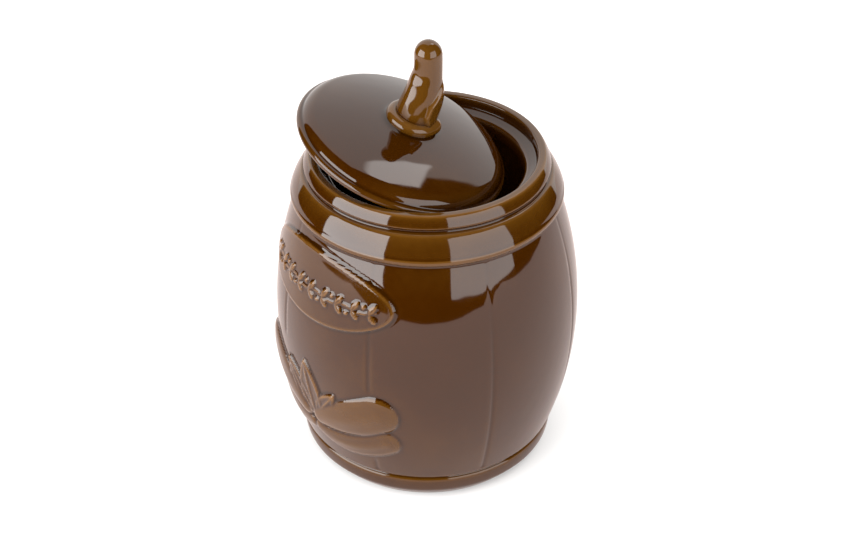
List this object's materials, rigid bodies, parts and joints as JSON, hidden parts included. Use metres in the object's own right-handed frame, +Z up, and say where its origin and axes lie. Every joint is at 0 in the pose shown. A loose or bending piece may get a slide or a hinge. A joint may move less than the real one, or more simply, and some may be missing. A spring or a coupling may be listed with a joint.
{
  "type": "ceramic pickle barrel",
  "caption": "Glazed stoneware jar shaped like a small wooden barrel, with a raised oval plaque and gherkins in relief, and a loose domed lid with a gherkin knob lying askew.",
  "frame": {"origin": "on the barrel's axis, at the face it stands on", "axes": "+Z up along the barrel's axis, -Y towards the front with the plaque, +X to the right of someone facing it"},
  "size_m": [0.17, 0.172, 0.2536],
  "materials": {
    "glaze": "gloss"
  },
  "bodies": {
    "root": {"barrel": "glaze", "lid": "glaze"}
  },
  "joints": []
}
